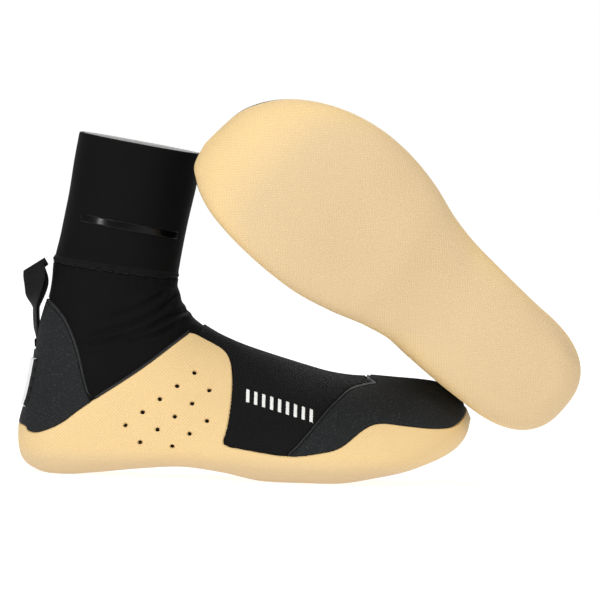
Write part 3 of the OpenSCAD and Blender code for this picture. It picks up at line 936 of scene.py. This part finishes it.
class BOOTS_OT_vamps(BootPiece, bpy.types.Operator):
    """Black mesh over the instep"""

    bl_idname = "boots.vamps"
    bl_label = "Mesh vamps"

    def build(self, side, sizes, layers):
        under = layers.neoprene[0] + 0.4

        def reach(x, z, y):
            s = np.minimum(inside(VAMP_RING, x, z), clear_of_sole(x, z, sizes))
            cap = np.minimum(inside(CAP_RING, x, z), clear_of_sole(x, z, sizes))
            return np.minimum(s, -cap - sizes.bead_w - 2 * sizes.layer_gap)

        def depth(s, x, z, y, u, t):
            return skirt(s, layers.mesh[0], under, 0.5) + 0.5 * soft_waves(x, z, y)

        bm = sheet((6, 21), sizes.cell, 9.5, 240)
        panel(bm, reach, depth, margin=0.5, fine=(1.8,))
        return finished(bm, side, "vamp_mesh_cloth", "foot", "mesh", ("vamp_mesh",),
                        wall=sizes.mesh_t * 0.8)


class BOOTS_OT_toe_caps(BootPiece, bpy.types.Operator):
    """Charcoal toe caps"""

    bl_idname = "boots.toe_caps"
    bl_label = "Toe caps"

    def build(self, side, sizes, layers):
        under = layers.neoprene[0] + 0.5

        def reach(x, z, y):
            return np.minimum(inside(CAP_RING, x, z), clear_of_sole(x, z, sizes))

        def depth(s, x, z, y, u, t):
            return skirt(s, 0.0, under, 0.8)

        bm = sheet((14, TIP), sizes.cell, 12.5, 250)
        panel(bm, reach, depth, margin=0.55, fine=(1.8,))
        return finished(bm, side, "toe_cap_rubber", "foot", "guard_rubber", ("toe_cap",),
                        wall=sizes.rubber_t)


class BOOTS_OT_counters(BootPiece, bpy.types.Operator):
    """Charcoal heel counters"""

    bl_idname = "boots.counters"
    bl_label = "Heel counters"

    def build(self, side, sizes, layers):
        under = layers.neoprene[0] + 0.5

        def reach(x, z, y):
            panel_s = np.minimum(inside(COUNTER_RING, x, z), clear_of_sole(x, z, sizes))
            return np.minimum(panel_s, -slot_for_webbing(x, z, y, sizes))

        def depth(s, x, z, y, u, t):
            return skirt(s, 0.0, under, 0.8)

        bm = sheet((4.5, 12), sizes.cell, 18, 230)
        panel(bm, reach, depth, margin=0.55, fine=(1.8, 1.0))
        return finished(bm, side, "heel_counter_rubber", "foot", "guard_rubber",
                        ("heel_counter",), wall=sizes.rubber_t)


def blended(obj):
    """Bakes a piece's placement into its mesh and returns it."""
    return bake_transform(obj)


class BOOTS_OT_ankles(BootPiece, bpy.types.Operator):
    """Stretch jersey over the ankle, with its folds"""

    bl_idname = "boots.ankles"
    bl_label = "Ankle panels"

    def build(self, side, sizes, layers):
        top = layers.neoprene[0]
        highest = SEAM + 0.02

        def reach(x, z, y):
            return inside(HEM_RING, x, z)

        def depth(s, x, z, y, u, t):
            near_seam = np.exp(-((u - highest) / 0.25) ** 2)
            ruck = 0.35 * near_seam * np.sin(np.radians(t) * 34 + 2 * np.sin(np.radians(t) * 5))
            slot = np.clip(slot_for_webbing(x, z, y, sizes) / 0.3, 0, 1)
            folds = crease_depth(x, z)
            return skirt(s, top, top + 1.5, 0.6) + folds + soft_waves(x, z, y) + ruck + 1.6 * slot

        bm = sheet((highest, 12), 1.2, 12, 230)
        panel(bm, reach, depth, margin=0.3, fine=())
        obj = finished(bm, side, "ankle_jersey", None, "neoprene", ("ankle_panel",),
                       wall=sizes.neoprene_t * 0.6)
        return blended(obj)


class BOOTS_OT_ankle_linings(BootPiece, bpy.types.Operator):
    """Light jersey inside the ankle"""

    bl_idname = "boots.ankle_linings"
    bl_label = "Ankle linings"

    def build(self, side, sizes, layers):
        def reach(x, z, y):
            return inside(HEM_RING, x, z)

        def depth(s, x, z, y, u, t):
            return layers.lining[0] + 0.25 * crease_depth(x, z)

        bm = sheet((SEAM + 0.02, 12), 2.4, 12, 210)
        panel(bm, reach, depth, margin=0.3, fine=())
        obj = finished(bm, side, "ankle_lining_jersey", None, "lining", ("ankle_lining",),
                       wall=sizes.lining_t)
        return blended(obj)


class BOOTS_OT_cuffs(BootPiece, bpy.types.Operator):
    """Neoprene cuffs, with a round rim"""

    bl_idname = "boots.cuffs"
    bl_label = "Cuffs"

    def build(self, side, sizes, layers):
        outer, inner = layers.neoprene

        def wave(x, z, y, u, v, way):
            free = np.clip(u / 0.5, 0, 1) * np.clip((SEAM - u) / 0.4, 0, 1)
            ruck = 0.3 * np.exp(-((u - SEAM) / 0.18) ** 2) * np.sin(v * 205 + 2 * np.sin(v * 31))
            return 0.9 * soft_waves(x, z, y) * free + ruck

        bm = grid((0, 1), (0, 1), 150, 150)
        hoop(bm, even_section(section(0.03, SEAM - 0.01, outer, inner)), wave)
        return finished(bm, side, "cuff_jersey", "shaft", "neoprene", ("cuff",))


class BOOTS_OT_cuff_linings(BootPiece, bpy.types.Operator):
    """Light jersey inside the cuffs"""

    bl_idname = "boots.cuff_linings"
    bl_label = "Cuff linings"

    def build(self, side, sizes, layers):
        bm = grid((0, 1), (0, 1), 110, 110)
        hoop(bm, even_section(section(0.0, SEAM - 0.01, *layers.lining, lip=0.03)))
        return finished(bm, side, "cuff_lining_jersey", "shaft", "lining", ("cuff_lining",))


class BOOTS_OT_seam_stitches(BootPiece, bpy.types.Operator):
    """Ruffled flat-lock stitching over the ankle seam"""

    bl_idname = "boots.seam_stitches"
    bl_label = "Seam stitching"

    def build(self, side, sizes, layers):
        low = layers.neoprene[0] + 0.25
        top, bottom = SEAM - 0.24, SEAM + 0.01
        steps = np.linspace(0, math.pi, 17)
        middle, half = (top + bottom) / 2, (bottom - top) / 2
        over = [(middle + half * math.cos(a), low - 0.5 * math.sin(a) ** 0.6) for a in steps]
        shape = over + [over[0]]

        def wave(x, z, y, u, v, way):
            share = (u - top) / (bottom - top)
            outside = np.sin(np.pi * np.clip(share, 0, 1)) * (way < 0.6)
            bars = np.abs(np.sin(v * 470 + 1.2 * share))
            rows = 0.5 + 0.5 * np.cos(share * 4 * math.pi)
            ruffle = 0.3 * np.sin(v * 95 + 2.4 * np.sin(v * 23)) + 0.2 * np.sin(v * 41)
            return -outside * (0.45 * bars * rows + ruffle * 0.7)

        bm = grid((0, 1), (0, 1), 30, 520)
        hoop(bm, even_section(shape, count=60), wave)
        return finished(bm, side, "seam_stitching", "shaft", "thread", ("cuff_seam_stitch",))


class BOOTS_OT_seam_tapes(BootPiece, bpy.types.Operator):
    """Tape over the seam, inside"""

    bl_idname = "boots.seam_tapes"
    bl_label = "Seam tape"

    def build(self, side, sizes, layers):
        out = layers.lining[1] + 0.1
        shape = [(SEAM, out), (SEAM - 0.4, out), (SEAM - 0.41, out + 0.3), (SEAM - 0.39, out + 0.55),
                 (SEAM - 0.01, out + 0.55), (SEAM, out + 0.3), (SEAM, out)]
        bm = grid((0, 1), (0, 1), 24, 160)
        hoop(bm, even_section(shape, count=40))
        return finished(bm, side, "seam_tape_band", "shaft", "tape", ("cuff_seam_tape",))


class BOOTS_OT_strips(BootPiece, bpy.types.Operator):
    """Glossy strips across the outer side of the cuffs"""

    bl_idname = "boots.strips"
    bl_label = "Glossy strips"

    def build(self, side, sizes, layers):
        (ax, az), (bx, bz) = STRIP_LINE
        half = sizes.strip_h / 2
        ring = [(ax, az - half), (bx, bz - half), (bx, bz + half), (ax, az + half)]

        def reach(x, z, y):
            return np.where(y < 0, inside(ring, x, z), FAR_OUTSIDE)

        def depth(s, x, z, y, u, t):
            return skirt(s, layers.neoprene[0] - 0.6, layers.neoprene[0] + 0.4, 0.5)

        bm = grid((2, 3), (0, 0.55), 34, 90)
        panel(bm, reach, depth, margin=0.35, fine=(9.0,))
        return finished(bm, side, "glossy_strip", "shaft", "gloss_film", ("grip_strip",), wall=0.4)


def bead(side, sizes, layers, reach_panel, keep, u_range, name, node, stitched=False):
    """A rounded bead beside a panel's edge, within the rings u_range and where keep is above 0."""
    middle = sizes.layer_gap + sizes.bead_w / 2
    half = sizes.bead_w / 2
    under = layers.neoprene[0] + 0.3

    def reach(x, z, y):
        beside = np.minimum(half - np.abs(-reach_panel(x, z, y) - middle), keep(x, z))
        return np.minimum(beside, -slot_for_webbing(x, z, y, sizes))

    def depth(s, x, z, y, u, t):
        q = np.clip(1 - s / half, 0, 1)
        d = -0.05 + 0.9 * (1 - np.sqrt(np.maximum(1 - q ** 2, 0))) + 0.3 * np.exp(-(q / 0.35) ** 2)
        if stitched:
            d = d + 0.3 * np.abs(np.sin((x + z) * math.pi / STITCH_PITCH)) * (1 - q)
        return np.where(s > 0, d, np.minimum(0.75 - 4 * s, under))

    bm = sheet(u_range, 1.5, 13, 240)
    panel(bm, reach, depth, margin=0.4, fine=(1.6, 1.2))
    return finished(bm, side, name, "foot", "sealant", (node,), wall=0.5)


class BOOTS_OT_wing_beads(BootPiece, bpy.types.Operator):
    """Sealed beads along the top of the side wings"""

    bl_idname = "boots.wing_beads"
    bl_label = "Wing beads"

    def build(self, side, sizes, layers):
        ring = [(48, 40), (106.5, 80), (106.5, 105), (48, 60)]
        return bead(side, sizes, layers, lambda x, z, y: inside(SOLE_RING, x, z),
                    lambda x, z: inside(ring, x, z), (6, 14), "wing_bead", "wing_seal")


class BOOTS_OT_counter_beads(BootPiece, bpy.types.Operator):
    """Sealed beads along the front of the heel counters"""

    bl_idname = "boots.counter_beads"
    bl_label = "Counter beads"

    def build(self, side, sizes, layers):
        ring = [(47, 49.3), (70, 49.3), (20, 112.5), (-20, 118), (-20, 108)]
        return bead(side, sizes, layers, lambda x, z, y: inside(COUNTER_RING, x, z),
                    lambda x, z: inside(ring, x, z), (4.6, 12), "counter_bead", "counter_seal")


class BOOTS_OT_toe_beads(BootPiece, bpy.types.Operator):
    """Stitched beads along the back of the toe caps"""

    bl_idname = "boots.toe_beads"
    bl_label = "Toe cap beads"

    def build(self, side, sizes, layers):
        ring = [(171, 19), (215, 19), (229.6, 62), (229.6, 90), (180, 90)]

        def keep(x, z):
            return np.minimum(inside(ring, x, z), clear_of_sole(x, z, sizes))

        return bead(side, sizes, layers, lambda x, z, y: inside(CAP_RING, x, z), keep, (14, 21),
                    "toe_cap_bead", "toe_cap_seal", stitched=True)


class BOOTS_OT_prints(BootPiece, bpy.types.Operator):
    """Plain printed bars on the outer side of the vamps"""

    bl_idname = "boots.prints"
    bl_label = "Printed bars"

    def build(self, side, sizes, layers):
        bars = [[(PRINT_START[0] + k * PRINT_STEP[0] + x, PRINT_START[1] + k * PRINT_STEP[1] + z)
                 for x, z in PRINT_BAR] for k in range(PRINT_BARS)]

        def reach(x, z, y):
            return np.where(y < 0, np.max([inside(bar, x, z) for bar in bars], axis=0), FAR_OUTSIDE)

        def depth(s, x, z, y, u, t):
            return skirt(s, layers.mesh[0] - 0.3, layers.mesh[0] + 0.3, 0.2) + 0.5 * soft_waves(x, z, y)

        bm = grid((11, 18), (0, 0.5), 90, 110)
        panel(bm, reach, depth, margin=0.3, fine=(5.0, 0.9))
        return finished(bm, side, "printed_bars", "foot", "print_ink", ("vamp_print",), wall=0.2)


class BOOTS_OT_labels(BootPiece, bpy.types.Operator):
    """Plain white woven labels at the back of the heels"""

    bl_idname = "boots.labels"
    bl_label = "Heel labels"

    def build(self, side, sizes, layers):
        def reach(x, z, y):
            across = sizes.label_w / 2 - np.abs(y)
            return np.where(x < 60, np.minimum(across, sizes.label_h / 2 - np.abs(z - LABEL_Z)), FAR_OUTSIDE)

        def depth(s, x, z, y, u, t):
            hem = 0.12 * np.exp(-((s - 1.4) / 0.3) ** 2)
            return skirt(s, -1.7, -0.1, 0.5) + hem

        bm = sheet((5, 10), 1.3, 21, 100, (0.3, 0.7))
        panel(bm, reach, depth, margin=0.3, fine=(1.5, 0.9))
        limit = sizes.label_w / 2 - 0.2

        def border(co):
            return (np.abs(co[:, 1]) > limit).astype(float)

        return finished(bm, side, "heel_label_cloth", "foot", "label_fabric",
                        ("heel_label",), wall=0.6, shades={"border": border})


def loop_at(h, sizes):
    """Middle, across and flat directions of the pull loop's webbing at each h up its line."""
    line = np.array(smooth_line(LOOP_LINE, 12))
    x = np.interp(h, np.arange(len(line)) / 12, line[:, 0])
    z = np.interp(h, np.arange(len(line)) / 12, line[:, 1])
    turn = np.radians(90 * np.sin(np.radians(90 * np.clip((h - 2.5) / 3.5, 0, 1))) ** 2)
    turn = np.maximum(turn, np.radians(10) * np.clip(h - 0.8, 0, 1))
    slope = math.radians(FOLD_SLOPE)
    across = np.stack([math.cos(slope) * np.sin(turn), -np.cos(turn), math.sin(slope) * np.sin(turn)], 1)
    flat = np.stack([-np.cos(turn), -np.sin(turn), 0 * turn], 1)
    sewn = sizes.webbing_t / 2 + 0.02
    spread = sewn + (LOOP_OPEN - sewn) * np.clip((h - 3.2) / 2.4, 0, 1)
    return np.stack([x, 0 * x, z], 1), across, flat, spread


class BOOTS_OT_pull_loops(BootPiece, bpy.types.Operator):
    """Webbing loops that rise from the heel, turn a quarter and fold over"""

    bl_idname = "boots.pull_loops"
    bl_label = "Pull loops"

    def build(self, side, sizes, layers):
        top = len(LOOP_LINE) - 1
        fold = 1.6
        total = 2 * top + fold
        bm = grid((0, total), (0, 1), 230, 36)
        way, v = spots(bm)
        h = np.minimum(np.minimum(way, total - way), top)
        middle, across, flat, spread = loop_at(h, sizes)
        bend = np.clip((way - top) / fold, 0, 1) * math.pi
        last_up = np.cross(across, flat)
        out = np.cos(bend)[:, None] * flat + np.sin(bend)[:, None] * last_up
        back = way > top + fold
        out[back] = -flat[back]
        angle = v * 2 * math.pi
        wide = np.sign(np.cos(angle)) * np.abs(np.cos(angle)) ** 0.35
        thick = np.sign(np.sin(angle)) * np.abs(np.sin(angle)) ** 0.6
        edge = 1 - 0.25 * np.abs(wide) ** 6
        ribs = 0.05 * np.sin(way * 62)
        p = middle + out * spread[:, None]
        p = p + across * (wide * sizes.webbing_w / 2)[:, None]
        p = p + out * (thick * (sizes.webbing_t / 2) * edge + ribs * np.sign(thick))[:, None]
        length = way * 9
        width = wide * sizes.webbing_w / 2
        move_to(bm, p)
        uv = {v_.index: (a, b) for v_, a, b in zip(bm.verts, width, length)}
        layer = bm.loops.layers.uv.new("weave")
        for f in bm.faces:
            for corner in f.loops:
                corner[layer].uv = uv[corner.vert.index]
        bmesh.ops.remove_doubles(bm, verts=bm.verts, dist=WELD)
        rims = [e for e in bm.edges if e.is_boundary]
        bmesh.ops.holes_fill(bm, edges=rims, sides=80)
        bmesh.ops.recalc_face_normals(bm, faces=bm.faces)
        obj = finished(bm, side, "pull_loop_webbing", None, "webbing", ("pull_loop",), weave=False)
        return blended(obj)


class BOOTS_OT_bartacks(BootPiece, bpy.types.Operator):
    """Dense stitching that holds the webbing's sewn ends"""

    bl_idname = "boots.bartacks"
    bl_label = "Bartacks"

    def build(self, side, sizes, layers):
        low, high = np.array(LOOP_LINE[0]), np.array(LOOP_LINE[1])
        rise = (high - low) / np.linalg.norm(high - low)
        half_w, tall, thick = sizes.webbing_w / 2 - 1, 5.0, 0.8
        bm = grid((-1, 1), (0, 1), 90, 24)
        a, b = spots(bm)
        edge = np.minimum((1 - np.abs(a)) * half_w, np.minimum(b, 1 - b) * tall)
        out = thick * np.sqrt(np.clip(edge / 0.6, 0, 1)) * (0.7 + 0.3 * np.abs(np.sin(a * 34 + b * 9)))
        start = low + rise * 1.0
        x = start[0] - sizes.webbing_t - 0.2 + rise[0] * b * tall - out
        z = start[1] + rise[1] * b * tall
        move_to(bm, np.stack([x, a * half_w, z], 1))
        outward_faces(bm)
        return finished(bm, side, "bartack_stitches", "foot", "thread", ("pull_loop_bartack",), wall=0.1)


class BOOTS_OT_stage(bpy.types.Operator):
    """Pale floor, soft light and the camera"""

    bl_idname = "boots.stage"
    bl_label = "Stage"

    def execute(self, context):
        bm = bmesh.new()
        bmesh.ops.create_grid(bm, x_segments=24, y_segments=24, size=FLOOR_REACH)
        mesh = bpy.data.meshes.new("floor")
        bm.to_mesh(mesh)
        bm.free()
        mesh.materials.append(FINISHES["floor"])
        floor = bpy.data.objects.new("floor", mesh)
        context.scene.collection.objects.link(floor)

        world = bpy.data.worlds.new("studio")
        world.use_nodes = True
        nodes, links = world.node_tree.nodes, world.node_tree.links
        glow = nodes["Background"]
        glow.inputs["Color"].default_value = (1, 1, 1, 1)
        seen = nodes.new("ShaderNodeLightPath")
        strength = nodes.new("ShaderNodeMapRange")
        strength.inputs["To Min"].default_value = SKY_AS_LIGHT
        strength.inputs["To Max"].default_value = SKY_TO_CAMERA
        links.new(seen.outputs["Is Camera Ray"], strength.inputs["Value"])
        links.new(strength.outputs["Result"], glow.inputs["Strength"])
        context.scene.world = world
        context.scene.view_settings.view_transform = "Standard"

        middle = Vector((0.149, 0, 0.12))
        for name, where, power, wide, tall in (
            ("key_light", (-1.0, -2.2, 1.9), 31, 1.6, 1.6),
            ("fill_light", (1.7, -2.2, 1.2), 20, 1.6, 1.6),
            ("top_light", (0.2, 0.1, 2.6), 23, 2.2, 2.2),
            ("back_light", (0.3, 1.9, 1.4), 10, 1.6, 1.6),
            ("strip_light", (-1.6, -2.6, 0.35), 14, 0.14, 0.3),
        ):
            light = bpy.data.lights.new(name, "AREA")
            light.energy = power
            light.shape = "RECTANGLE"
            light.size, light.size_y = wide, tall
            lamp = bpy.data.objects.new(name, light)
            lamp.location = where
            lamp.rotation_euler = (middle - Vector(where)).to_track_quat("-Z", "Y").to_euler()
            context.scene.collection.objects.link(lamp)

        far, view_width, tilt, roll = 9.7, 0.384, math.radians(2.5), math.radians(2.1)
        camera = bpy.data.cameras.new("camera")
        camera.sensor_width = SENSOR
        camera.lens = SENSOR * far / view_width
        camera.clip_end = 200
        ahead = Vector((0, math.cos(tilt), -math.sin(tilt)))
        right = Vector((math.cos(roll), 0, math.sin(roll)))
        up = right.cross(ahead)
        aim = Vector((0.1406, 0, 0.1158))
        eye = bpy.data.objects.new("camera", camera)
        turn = Matrix((right, up, -ahead)).transposed().to_4x4()
        eye.matrix_world = Matrix.Translation(aim - ahead * far) @ turn
        context.scene.collection.objects.link(eye)
        context.scene.camera = eye
        return {"FINISHED"}


PIECES = (
    BOOTS_OT_soles, BOOTS_OT_foot_shells, BOOTS_OT_foot_linings, BOOTS_OT_footbeds, BOOTS_OT_vamps,
    BOOTS_OT_toe_caps, BOOTS_OT_counters, BOOTS_OT_ankles, BOOTS_OT_ankle_linings, BOOTS_OT_cuffs,
    BOOTS_OT_cuff_linings, BOOTS_OT_seam_stitches, BOOTS_OT_seam_tapes, BOOTS_OT_strips,
    BOOTS_OT_wing_beads, BOOTS_OT_counter_beads, BOOTS_OT_toe_beads, BOOTS_OT_prints,
    BOOTS_OT_labels, BOOTS_OT_pull_loops, BOOTS_OT_bartacks,
)
STEPS = (BOOTS_OT_finishes,) + PIECES + (BOOTS_OT_stage,)


class BOOTS_PT_panel(bpy.types.Panel):
    """The boots' sizes, colours and pieces"""

    bl_idname = "BOOTS_PT_panel"
    bl_label = "Neoprene boots"
    bl_space_type = "VIEW_3D"
    bl_region_type = "UI"
    bl_category = "Boots"

    def draw(self, context):
        column = self.layout.column()
        for group in (context.scene.boot_sizes, context.scene.boot_looks):
            for name in group.bl_rna.properties.keys():
                if name not in ("rna_type", "name"):
                    column.prop(group, name)
        for step in STEPS:
            column.operator(step.bl_idname)


CLASSES = (BootSizes, BootLooks) + STEPS + (BOOTS_PT_panel,)


def register():
    for cls in CLASSES:
        bpy.utils.register_class(cls)
    bpy.types.Scene.boot_sizes = PointerProperty(type=BootSizes)
    bpy.types.Scene.boot_looks = PointerProperty(type=BootLooks)


def unregister():
    del bpy.types.Scene.boot_looks
    del bpy.types.Scene.boot_sizes
    for cls in reversed(CLASSES):
        bpy.utils.unregister_class(cls)


def main():
    register()
    for step in STEPS:
        group, name = step.bl_idname.split(".")
        getattr(getattr(bpy.ops, group), name)()


if __name__ == "__main__":
    main()
